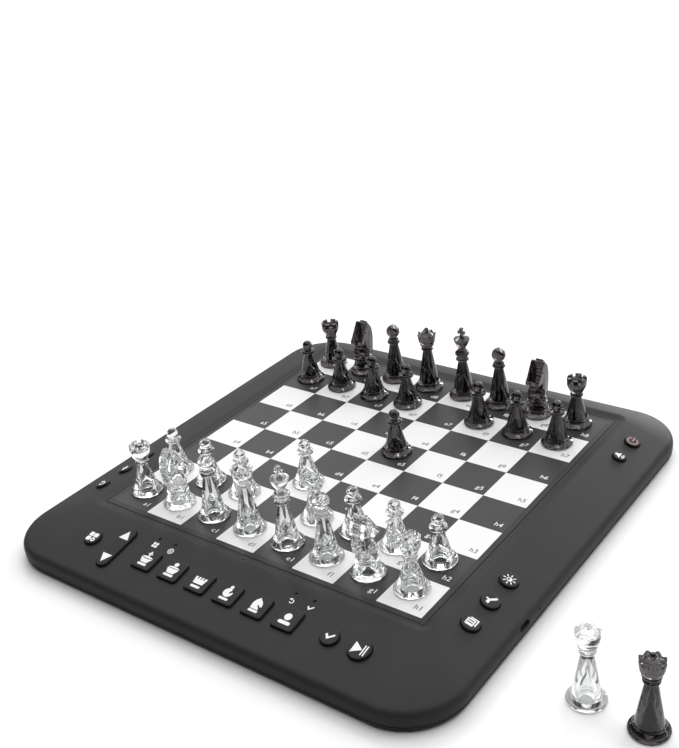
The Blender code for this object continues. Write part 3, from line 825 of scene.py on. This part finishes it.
def place_icon(name, draw, body, slot, seat, size, mat=WHITE_INK):
    """Draws an icon whose units run from -1 to 1, in a local frame; size is the width of that box."""
    bm = bmesh.new()
    draw(bm)
    scale = Matrix.Diagonal((size / 2, size / 2, INK_DEPTH, 1.0))
    bmesh.ops.transform(bm, matrix=seat @ scale, verts=bm.verts)
    install(finish_mesh(name, bm, [mat]), body, slot)


# ------------------------ keys
# Icon, its width in squares and its ink.
ROUND_ICONS = {
    "menu_button": (icon_menu, 0.262, WHITE_INK),
    "confirm_button": (icon_tick, 0.215, WHITE_INK),
    "play_button": (icon_play, 0.300, WHITE_INK),
    "power_button": (icon_power, 0.270, RED_INK),
    "volume_button": (icon_sound, 0.235, WHITE_INK),
    "brightness_button": (icon_sun, 0.260, WHITE_INK),
    "hint_button": (icon_hint, 0.250, WHITE_INK),
    "library_button": (icon_pages, 0.235, WHITE_INK),
    "left_button_upper": (icon_dot, 0.220, WHITE_INK),
    "left_button_middle": (icon_flip, 0.230, WHITE_INK),
    "left_button_lower": (icon_undo, 0.240, WHITE_INK),
}
KEY_ICONS = dict(zip(SQUARE_KEYS, (icon_king, icon_queen, icon_rook, icon_bishop, icon_knight, icon_pawn)))
KEY_ICON_SIZE = 0.375 * SQ
KEY_ICON_LIFT = 0.02 * SQ
ROCKER_ICON_SIZE = 0.255 * SQ
MARK_SIZE = 0.160 * SQ  # printed marks on the rim
SOFT = 0.5 * MM  # rounding of the cap edges


def cap_edge():
    """Inset and height of the rings round a cap's upper edge."""
    levels = [(inset, CAP_H - drop) for drop, inset in quarter(SOFT, 6)]
    return levels + [(SOFT + 0.3 * MM, CAP_H)]


def make_round_key(node):
    """Cap, flange below the rim, stem and icon of a round button."""
    seat = button_seat(node)
    r = key_radius(node)
    stem = 1.6 * MM
    flange = r + FLANGE
    profile = [(stem, STEM_H), (stem, FLANGE_H0), (flange, FLANGE_H0), (flange, FLANGE_H1), (r, FLANGE_H1)]
    profile += [(r - inset, h) for inset, h in cap_edge()]
    rings = [circle(0, 0, radius, h, 56) for radius, h in profile]
    install(solid("cap_" + node, placed(seat, rings), KEY), node, "key_plastic", node)
    draw, width, ink = ROUND_ICONS[node]
    top = seat @ Matrix.Translation((0, 0, CAP_H))
    place_icon("icon_" + node, draw, node, "key_plastic", top, width * SQ, ink)


def make_square_key(node):
    """The same parts for a square key."""
    seat = button_seat(node)
    size = key_size(node)
    stem = 3.2 * MM
    foot = size + 2 * FLANGE
    r = KEY_CORNER
    profile = [(stem, 0.4 * MM, STEM_H), (stem, 0.4 * MM, FLANGE_H0), (foot, 2.0 * MM, FLANGE_H0),
               (foot, 2.0 * MM, FLANGE_H1), (size, r, FLANGE_H1)]
    profile += [(size - 2 * inset, r - inset, h) for inset, h in cap_edge()]
    rings = [rounded(0, 0, w, w, radius, h, 8) for w, radius, h in profile]
    install(solid("cap_" + node, placed(seat, rings), KEY), node, "key_plastic", node)
    top = seat @ Matrix.Translation((0, KEY_ICON_LIFT, CAP_H))
    place_icon("icon_" + node, KEY_ICONS[node], node, "key_plastic", top, KEY_ICON_SIZE)


def make_rocker():
    """Long rocker with a pivot bar in the middle and a stud under each end."""
    node = "rocker_button"
    rings = [rocker_ring(-1.2 * MM, -3.4 * MM), rocker_ring(0.0, -2.8 * MM)]
    rings += [rocker_ring(-inset, h) for inset, h in cap_edge()]
    rocker = solid("cap_rocker", placed(ROCKER_SEAT, rings), KEY)
    bm = bmesh.new()
    for end in (-ROCKER_REACH, ROCKER_REACH):
        skin(bm, placed(ROCKER_SEAT, [circle(0, end, 1.6 * MM, h, 16) for h in (STEM_H, -2.0 * MM)]))
    skin(bm, placed(ROCKER_SEAT, [rounded(0, 0, ROCKER_W + PIVOT_REST, 2.4 * MM, 0.4 * MM, h, 3)
                                  for h in (-4.0 * MM, -2.7 * MM)]))
    carve(rocker, [finish_mesh("tool_pivot", bm, [KEY])], "UNION")
    resmooth(rocker)
    install(rocker, node, "key_plastic", node)
    for end, draw, name in ((0.34, icon_up, "icon_rocker_up"), (-0.34, icon_down, "icon_rocker_down")):
        top = ROCKER_SEAT @ Matrix.Translation((-0.02 * SQ, end * SQ, CAP_H))
        place_icon(name, draw, node, "key_plastic", top, ROCKER_ICON_SIZE)


def make_printed_icons():
    """Small printed marks below the four lamps on the front rim."""
    for i, (seat, draw) in enumerate(zip(LAMPS, (icon_grid, icon_globe, icon_undo, icon_tick))):
        below = seat @ Matrix.Translation((0.02 * SQ, -0.175 * SQ, -INK_DEPTH / 2))
        place_icon("mark_%d" % (i + 1), draw, "case", "case_plastic", below, MARK_SIZE)


# ------------------------ inside
LAMP_OUTLINE = [(0.0, -3.9), (0.7, -3.9), (0.7, -0.9), (0.5, -0.6), (0.0, -0.5)]  # mm


def make_inside():
    """Materials of the CAD's inner parts, and the lamps in their holes."""
    looks = {"sensor_board": BOARD_GREEN, "main_board": BOARD_GREEN, "battery_pack": FOIL, "speaker": BLACK,
             "usb_socket": STEEL}
    for node, mat in looks.items():
        frame["nodes"][node].data.materials.clear()
        frame["nodes"][node].data.materials.append(mat)
    for i, seat in enumerate(LAMPS):
        rings = [circle(0, 0, r * MM, h * MM, 20) for r, h in LAMP_OUTLINE]
        install(solid("lamp_%d" % (i + 1), placed(seat, rings), LENS), "case", "clear_plastic")


# ------------------------ playing pieces
PIECE_SIDES = 56
# In squares: the base from its outer edge upwards, then for each kind the apex of its hollow and its
# outline above the base, as (radius, height).
BASE = [(0.300, 0.0)] + arc(0.325, 0.032, 0.032, -90, 78, 9)
BASE += [(0.300, 0.088), (0.276, 0.112), (0.266, 0.122)] + arc(0.252, 0.150, 0.024, -55, 75, 6)
BASE += [(0.250, 0.182), (0.247, 0.200)]
HEADS = {
    "pawn": (0.40, [(0.100, 0.710), (0.098, 0.720)] + arc(0.142, 0.782, 0.040, -105, 75, 10)
             + [(0.110, 0.832), (0.092, 0.846)] + arc(0.0, 0.944, 0.126, -48, 90, 12)),
    "rook": (0.40, [(0.108, 0.700), (0.106, 0.710)] + arc(0.120, 0.755, 0.032, -90, 80, 8)
             + [(0.120, 0.792), (0.122, 0.806), (0.150, 0.840), (0.166, 0.880), (0.206, 0.960)]
             + [(0.220, 0.995), (0.224, 1.070), (0.226, 1.150)] + arc(0.212, 1.166, 0.015, 0, 90, 4)
             + arc(0.164, 1.166, 0.015, 90, 180, 4) + [(0.147, 1.060), (0.130, 1.040), (0.0, 1.032)]),
    "bishop": (0.58, [(0.108, 0.970), (0.106, 0.978)] + arc(0.120, 1.038, 0.036, -100, 60, 8)
               + [(0.118, 1.082)] + arc(0.108, 1.110, 0.024, -60, 70, 6) + [(0.094, 1.146), (0.090, 1.158)]
               + arc(0.0, 1.322, 0.168, -66, 72, 16) + [(0.030, 1.500), (0.0, 1.510)]),
    "queen": (0.64, [(0.108, 1.020), (0.106, 1.028)] + arc(0.125, 1.064, 0.028, -100, 70, 8)
              + [(0.118, 1.104), (0.122, 1.122), (0.150, 1.146)] + arc(0.150, 1.172, 0.022, -60, 60, 6)
              + [(0.174, 1.206), (0.198, 1.256), (0.214, 1.320), (0.222, 1.390), (0.224, 1.450)]
              + [(0.206, 1.440), (0.186, 1.426), (0.160, 1.432), (0.120, 1.464), (0.075, 1.492)]
              + [(0.046, 1.508)] + arc(0.0, 1.560, 0.060, -58, 90, 10)),
    "king": (0.60, [(0.106, 0.920), (0.104, 0.930)] + arc(0.130, 0.998, 0.030, -110, 75, 8)
             + [(0.132, 1.042), (0.134, 1.060)] + arc(0.128, 1.152, 0.048, -75, 60, 10)
             + [(0.130, 1.220), (0.100, 1.254), (0.088, 1.276), (0.092, 1.300), (0.116, 1.340)]
             + [(0.150, 1.395), (0.178, 1.460), (0.192, 1.510)] + arc(0.184, 1.528, 0.012, -20, 90, 4)
             + [(0.150, 1.552), (0.100, 1.572), (0.060, 1.592), (0.0, 1.600)]),
    "knight": (0.44, [(0.236, 0.250), (0.222, 0.285)] + arc(0.216, 0.325, 0.026, -60, 70, 6)
               + [(0.212, 0.362), (0.204, 0.395)] + arc(0.196, 0.430, 0.024, -60, 70, 6)
               + [(0.190, 0.470), (0.184, 0.520), (0.0, 0.530)]),
}
LOBES = 8  # of the queen's rim
LOBE_BAND = (1.39, 1.455)  # heights between which they are drawn
LOBE_GROW = 0.050  # wave in the radius, as a share of it
LOBE_RISE = 0.023 * SQ  # wave in the height


def piece_profile(kind):
    """The hollow is one steep cone with a small round apex and an eased mouth."""
    apex, head = HEADS[kind]
    inside = [(0.0, apex), (0.010, apex - 0.008), (0.125, 0.22), (0.134, 0.012), (0.144, 0.0)]
    return inside + BASE + head


def turned(kind, x, y, z):
    """Solid of revolution; the queen's rim is drawn into lobes."""
    bm = bmesh.new()
    rings = []
    for r, h in piece_profile(kind):
        ring = circle(x, y, r * SQ, z + h * SQ, PIECE_SIDES)
        if kind == "queen" and LOBE_BAND[0] < h < LOBE_BAND[1] and r > 0.18:
            ring = lobed(ring, x, y, min(1.0, (h - LOBE_BAND[0]) / 0.05))
        rings.append(ring)
    skin(bm, rings)
    return bm


def lobed(ring, x, y, reach):
    """Waves a ring in and out and up and down; reach fades the waves in."""
    out = []
    for i, p in enumerate(ring):
        wave = reach * math.cos(LOBES * 2 * math.pi * (i + 0.5) / PIECE_SIDES)
        grow = 1 + LOBE_GROW * wave
        out.append((x + (p[0] - x) * grow, y + (p[1] - y) * grow, p[2] + LOBE_RISE * wave))
    return out


def smooth_path(points, per_span=4):
    """Catmull-Rom curve through open points."""
    out = []
    last = len(points) - 1
    for i in range(last):
        p = [Vector(points[max(0, min(last, i + d))]) for d in (-1, 0, 1, 2)]
        for step in range(per_span):
            t = step / per_span
            out.append(0.5 * (2 * p[1] + (p[2] - p[0]) * t + (2 * p[0] - 5 * p[1] + 4 * p[2] - p[3]) * t ** 2
                              + (3 * p[1] - p[0] - 3 * p[2] + p[3]) * t ** 3))
    out.append(Vector(points[last]))
    return out


# Knight's head from the side, (forward, height) in squares, from the chest round to the back.
CHEST = [(0.120, 0.472), (0.168, 0.520), (0.150, 0.624), (0.090, 0.704), (0.045, 0.784), (0.060, 0.820)]
MUZZLE = [(0.060, 0.820), (0.130, 0.836), (0.215, 0.816), (0.255, 0.828), (0.268, 0.856), (0.258, 0.904),
          (0.190, 1.000), (0.100, 1.136), (0.020, 1.264)]
TUFT = [(0.020, 1.264), (-0.015, 1.320), (-0.060, 1.352), (-0.100, 1.328)]
NECK = [(-0.100, 1.328), (-0.140, 1.292), (-0.210, 1.200), (-0.252, 1.056), (-0.258, 0.856), (-0.238, 0.656),
        (-0.212, 0.520), (-0.160, 0.472)]
HEAD_HALF = 0.170  # half thickness
HEAD_SOFT = 0.015  # rounding of its edges
MANE_TEETH = 11
MANE_SHARE = 0.72  # how much of the neck carries the mane
MANE_HALF = 0.090
EAR_SIDE = 0.095
EAR_RINGS = ((0.058, -0.060, 1.216), (0.050, -0.040, 1.280), (0.030, -0.030, 1.336), (0.0, -0.026, 1.380))
EYE_PLACE = (HEAD_HALF + 0.012, 0.035, 1.112)
EYE_R = 0.038


def inset(outline, amount):
    """The same closed outline moved inwards."""
    out = []
    n = len(outline)
    for i in range(n):
        edge = (outline[(i + 1) % n] - outline[i - 1]).normalized()
        out.append(outline[i] + Vector((-edge.y, edge.x)) * amount)
    return out


def across(outline, side):
    """A side outline as a ring at a distance from the middle plane; local X is to the side, Y forward."""
    return [(side * SQ, p.x * SQ, p.y * SQ) for p in outline]


def horse_head(seat):
    """A flat head with rounded edges, from its side outline."""
    outline = smooth_path(CHEST)[:-1] + smooth_path(MUZZLE)[:-1] + smooth_path(TUFT)[:-1] + smooth_path(NECK)
    levels = [(depth, HEAD_HALF - drop) for depth, drop in quarter(HEAD_SOFT, 4)]
    rings = [across(inset(outline, depth), side) for depth, side in levels]
    rings += [across(inset(outline, depth), -side) for depth, side in reversed(levels)]
    return solid("tool_head", placed(seat, rings), CLEAR)


def horse_mane(seat):
    """A comb of short teeth along the back of the neck."""
    spine = smooth_path(NECK, 14)
    spine = spine[:int(len(spine) * MANE_SHARE)]
    outer = []
    for i, p in enumerate(spine):
        edge = (spine[min(i + 1, len(spine) - 1)] - spine[max(i - 1, 0)]).normalized()
        tooth = 0.5 - 0.5 * math.cos(2 * math.pi * MANE_TEETH * i / (len(spine) - 1))
        outer.append(p + Vector((edge.y, -edge.x)) * (0.014 + 0.040 * tooth))
    inner = [p + Vector((0.050, -0.030)) for p in spine]
    rings = [across(outer + inner[::-1], side) for side in (-MANE_HALF, MANE_HALF)]
    return solid("tool_mane", placed(seat, rings), CLEAR)


def horse_ears(seat):
    """Two pointed cones that lean forward."""
    ears = []
    for side in (-EAR_SIDE, EAR_SIDE):
        rings = [circle(side * SQ, forward * SQ, r * SQ, h * SQ, 12) for r, forward, h in EAR_RINGS]
        ears.append(solid("tool_ear", placed(seat, rings), CLEAR))
    return ears


def ball(name, seat, c, r, n=16):
    """A spherical tool with n sides."""
    rings = []
    for i in range(n // 2 + 1):
        a = math.pi * i / (n // 2)
        rad = 0.0 if i in (0, n // 2) else r * math.sin(a)
        rings.append(circle(c[0], c[1], rad, c[2] - r * math.cos(a), n))
    return solid(name, placed(seat, rings), CLEAR)


def block(name, seat, x_span, y_span, heights):
    """A rectangular tool; all sizes in squares."""
    x0, x1 = x_span
    y0, y1 = y_span
    outline = ((x0, y0), (x1, y0), (x1, y1), (x0, y1))
    rings = [[(a * SQ, b * SQ, h * SQ) for a, b in outline] for h in heights]
    return solid(name, placed(seat, rings), CLEAR)


def horse_cuts(seat):
    """Eye dimples on both sides, and the line of the mouth."""
    tools = []
    side, forward, height = EYE_PLACE
    for sign in (-1, 1):
        centre = (sign * side * SQ, forward * SQ, height * SQ)
        tools.append(ball("tool_eye", seat, centre, EYE_R * SQ))
    tools.append(block("tool_mouth", seat, (-0.30, 0.30), (0.185, 0.32), (0.852, 0.868)))
    return tools


def cut_crenels(seat):
    """Three slots across the rook's head give six teeth."""
    tools = []
    for i in range(3):
        spin = seat @ Matrix.Rotation(math.radians(60 * i + 15), 4, "Z")
        tools.append(block("tool_slot", spin, (-0.30, 0.30), (-0.042, 0.042), (1.095, 1.27)))
    return tools


def mitre_cut(seat):
    """A slanting slot into the bishop's head."""
    lean = Matrix.Rotation(math.radians(35), 4, "Z") @ Matrix.Rotation(math.radians(55), 4, "Y")
    place = seat @ Matrix.Translation((0, 0, 1.37 * SQ)) @ lean
    return block("tool_mitre", place, (-0.02, 0.02), (-0.30, 0.02), (-0.2, 0.2))


def cross_parts(seat):
    """Upright and arm of the king's cross, both flared at the ends."""
    half = 0.030
    corners = ((-half, -half), (half, -half), (half, half), (-half, half))
    levels = ((1.0, 1.58), (0.85, 1.68), (1.35, 1.79), (1.2, 1.81))
    upright = [[(a * flare * SQ, b * flare * SQ, h * SQ) for a, b in corners] for flare, h in levels]
    widths = ((-0.092, 1.2), (-0.080, 1.3), (0.0, 0.8), (0.080, 1.3), (0.092, 1.2))
    arm = [[(x * SQ, 0.9 * a * flare * SQ, (1.695 + b * flare) * SQ) for a, b in corners]
           for x, flare in widths]
    return [solid("tool_upright", placed(seat, upright), CLEAR), solid("tool_arm", placed(seat, arm), CLEAR)]


def make_piece(node):
    """A turned body, cut or joined with the parts of its kind, in clear or smoke acrylic."""
    colour, kind = node.split("_")[:2]
    x, y, z = JOINTS[node]["pos_m"]
    facing = 0.0 if colour == "white" else math.pi
    seat = Matrix.Translation((x, y, z)) @ Matrix.Rotation(facing, 4, "Z")
    mat, slot = (CLEAR, "clear_plastic") if colour == "white" else (SMOKE, "smoke_plastic")
    obj = finish_mesh("piece_" + node, turned(kind, x, y, z), [mat], 50.0)
    if kind == "rook":
        carve(obj, cut_crenels(seat))
    if kind == "bishop":
        carve(obj, [mitre_cut(seat)])
    if kind == "king":
        carve(obj, cross_parts(seat), "UNION")
    if kind == "knight":
        head = horse_head(seat)
        carve(head, horse_cuts(seat))
        carve(obj, [head, horse_mane(seat)] + horse_ears(seat), "UNION")
    obj.data.materials.clear()
    obj.data.materials.append(mat)
    for poly in obj.data.polygons:
        poly.material_index = 0
    resmooth(obj, 40.0)
    install(obj, node, slot, node)


# ------------------------ studio
SKY_TOWARDS = Vector((-0.10, 0.50, 0.86)).normalized()
SKY_DARK = 0.04
SKY_BRIGHT = 2.05
# Name, place, width and height in metres, power in watts.
SOFT_BOXES = (
    ("key_light", (-0.75, 0.60, 0.95), 0.30, 0.25, 2.2),
    ("back_light", (0.05, 1.35, 0.30), 0.70, 0.20, 6.0),
    ("strip_light", (0.95, 0.60, 0.45), 0.10, 0.60, 0.7),
)


def make_floor():
    """White floor just below the pads."""
    mat, tree, node = shader("floor_white", (0.93, 0.93, 0.93), 0.6)
    speck = noise(tree, 14.0, 3.0)
    pale = tint(tree, speck, (0.925, 0.925, 0.925), (0.935, 0.935, 0.935))
    tree.links.new(pale, node.inputs["Base Color"])
    bm = bmesh.new()
    bmesh.ops.create_grid(bm, x_segments=8, y_segments=8, size=30.0)
    bmesh.ops.translate(bm, verts=bm.verts, vec=(0, 0, -0.3 * MM))
    finish_mesh("floor", bm, [mat])


def make_sky():
    """Soft surround: bright above, dark at the horizon and darkest on the near right."""
    world = bpy.data.worlds.new("studio_sky")
    bpy.context.scene.world = world
    world.use_nodes = True
    tree = world.node_tree
    coords = tree.nodes.new("ShaderNodeTexCoord")
    facing = tree.nodes.new("ShaderNodeVectorMath")
    facing.operation = "DOT_PRODUCT"
    facing.inputs[1].default_value = SKY_TOWARDS
    tree.links.new(coords.outputs["Generated"], facing.inputs[0])
    ramp = tree.nodes.new("ShaderNodeMapRange")
    ramp.interpolation_type = "SMOOTHSTEP"
    ramp.inputs["From Min"].default_value = 0.30
    ramp.inputs["From Max"].default_value = 0.95
    ramp.inputs["To Min"].default_value = SKY_DARK
    ramp.inputs["To Max"].default_value = SKY_BRIGHT
    tree.links.new(facing.outputs["Value"], ramp.inputs["Value"])
    tree.links.new(ramp.outputs["Result"], tree.nodes["Background"].inputs["Strength"])
    tree.nodes["Background"].inputs["Color"].default_value = (1.0, 1.0, 1.0, 1.0)


def soft_box(name, place, size, size_y, power):
    """A rectangular lamp that faces the origin."""
    lamp = bpy.data.lights.new(name, "AREA")
    lamp.shape = "RECTANGLE"
    lamp.size = size
    lamp.size_y = size_y
    lamp.energy = power
    obj = bpy.data.objects.new(name, lamp)
    obj.location = place
    obj.rotation_euler = (-Vector(place)).to_track_quat("-Z", "Y").to_euler()
    bpy.context.scene.collection.objects.link(obj)


def make_studio():
    make_floor()
    make_sky()
    for box in SOFT_BOXES:
        soft_box(*box)
    scene = bpy.context.scene
    scene.view_settings.view_transform = "Standard"
    scene.cycles.max_bounces = 24
    scene.cycles.glossy_bounces = 16
    scene.cycles.transmission_bounces = 24


CAMERA_AZIMUTH = math.radians(38.73)
CAMERA_ELEVATION = math.radians(26.91)
CAMERA_ROLL = math.radians(-5.65)
CAMERA_DISTANCE = 29.01  # squares
CAMERA_TARGET = (-3.075, 3.164)  # squares, on the board
CAMERA_LENS = 53.55  # mm, on a sensor 36 mm wide


def make_camera():
    """The photograph's viewing angle, solved from the corners of the squares."""
    az, el = CAMERA_AZIMUTH, CAMERA_ELEVATION
    back = Vector((math.sin(az) * math.cos(el), -math.cos(az) * math.cos(el), math.sin(el)))
    right = Vector((math.cos(az), math.sin(az), 0.0))
    up = back.cross(right)
    turn_right = math.cos(CAMERA_ROLL) * right + math.sin(CAMERA_ROLL) * up
    turn_up = math.cos(CAMERA_ROLL) * up - math.sin(CAMERA_ROLL) * right
    x, y = at_square(*CAMERA_TARGET)
    data = bpy.data.cameras.new("camera")
    data.sensor_width = 36.0
    data.lens = CAMERA_LENS
    data.clip_start = 0.01
    data.clip_end = 80.0
    camera = bpy.data.objects.new("camera", data)
    spin = Matrix((turn_right, turn_up, back)).transposed().to_4x4()
    camera.matrix_world = Matrix.Translation(Vector((x, y, Z_BOARD)) + back * CAMERA_DISTANCE * SQ) @ spin
    bpy.context.scene.collection.objects.link(camera)
    bpy.context.scene.camera = camera


make_camera()
make_top_case()
make_bottom_case()
make_screws()
make_feet()
make_surface()
make_labels()
for round_key in ROUND_KEYS:
    make_round_key(round_key)
for square_key in SQUARE_KEYS:
    make_square_key(square_key)
make_rocker()
make_printed_icons()
make_inside()
for piece_node in NODES:
    if piece_node.startswith(("white_", "black_")):
        make_piece(piece_node)
make_studio()
